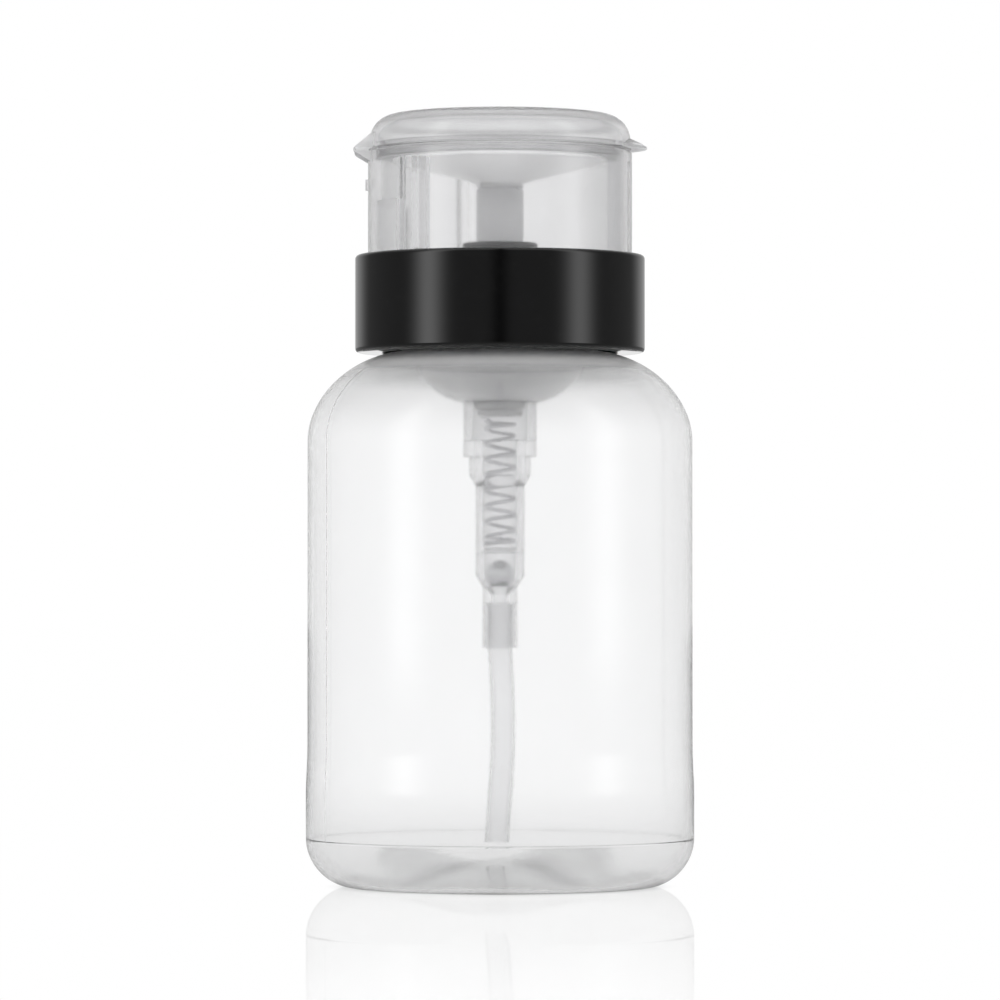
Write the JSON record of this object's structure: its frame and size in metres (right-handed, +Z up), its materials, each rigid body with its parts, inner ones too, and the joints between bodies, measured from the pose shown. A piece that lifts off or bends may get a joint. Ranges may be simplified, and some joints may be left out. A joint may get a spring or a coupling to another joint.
{
  "type": "nail polish remover pump bottle",
  "caption": "Frosted round bottle with a glossy black collar, a hinged clear lid and a spring pump that a pressed dish drives to wet a cotton pad.",
  "frame": {"origin": "middle of the bottle's base, on the plane it stands on", "axes": "+Z up along the pump, -Y towards the viewer of the picture, -X towards the lid's hinge"},
  "size_m": [0.0604, 0.0604, 0.1206],
  "materials": {
    "frosted_bottle": "blow moulded, fine satin frost, lets light through",
    "natural_plastic": "uncoloured moulded plastic, cloudy",
    "milky_plastic": "uncoloured moulded plastic, milky",
    "clear_lid": "uncoloured moulded plastic, smooth and see-through",
    "black_cap_plastic": "plain moulded black",
    "black_gloss": "polished black",
    "gasket_foam": "closed cell foam",
    "spring_steel": "drawn wire",
    "ball_steel": "polished"
  },
  "bodies": {
    "bottle": {"bottle": "frosted_bottle", "neck_plug": "natural_plastic"},
    "pump": {"pump_housing": "natural_plastic", "neck_gasket": "gasket_foam", "chaplet": "black_cap_plastic", "stem_wiper": "milky_plastic", "spring": "spring_steel", "ball_cage": "milky_plastic", "dip_tube": "natural_plastic"},
    "cap": {"screw_cap": "black_cap_plastic", "collar_shell": "black_gloss", "guard": "clear_lid"},
    "lid": {"lid": "clear_lid"},
    "press": {"dish": "natural_plastic", "stem": "milky_plastic", "piston_seal": "milky_plastic", "piston_retainer": "milky_plastic", "outlet_nozzle": "natural_plastic"},
    "inlet_valve": {"inlet_ball": "ball_steel"},
    "outlet_valve": {"outlet_ball": "ball_steel"}
  },
  "joints": [
    {"name": "pump_lift", "type": "slide", "parent": "bottle", "child": "pump", "axis": [0, 0, 1], "range_m": [0, 0.00635]},
    {"name": "cap_unscrew", "type": "hinge", "parent": "pump", "child": "cap", "pos_m": [0, 0, 0.0984], "axis": [0, 0, 1], "range_deg": [0, 540]},
    {"name": "lid_hinge", "type": "hinge", "parent": "cap", "child": "lid", "pos_m": [-0.0227, 0, 0.11464], "axis": [0, -1, 0], "range_deg": [0, 160]},
    {"name": "dish_press", "type": "slide", "parent": "pump", "child": "press", "axis": [0, 0, -1], "range_m": [0, 0.0036], "stiffness_N_per_m": 600, "springref_m": -0.004, "deforming": ["spring"]},
    {"name": "inlet_ball_lift", "type": "slide", "parent": "pump", "child": "inlet_valve", "axis": [0, 0, 1], "range_m": [0, 0.001]},
    {"name": "outlet_ball_lift", "type": "slide", "parent": "press", "child": "outlet_valve", "axis": [0, 0, 1], "range_m": [0, 0.0008]}
  ],
  "couplings": [
    {"joint": "pump_lift", "follows": "cap_unscrew", "m_per_rad": 0.00067322}
  ]
}
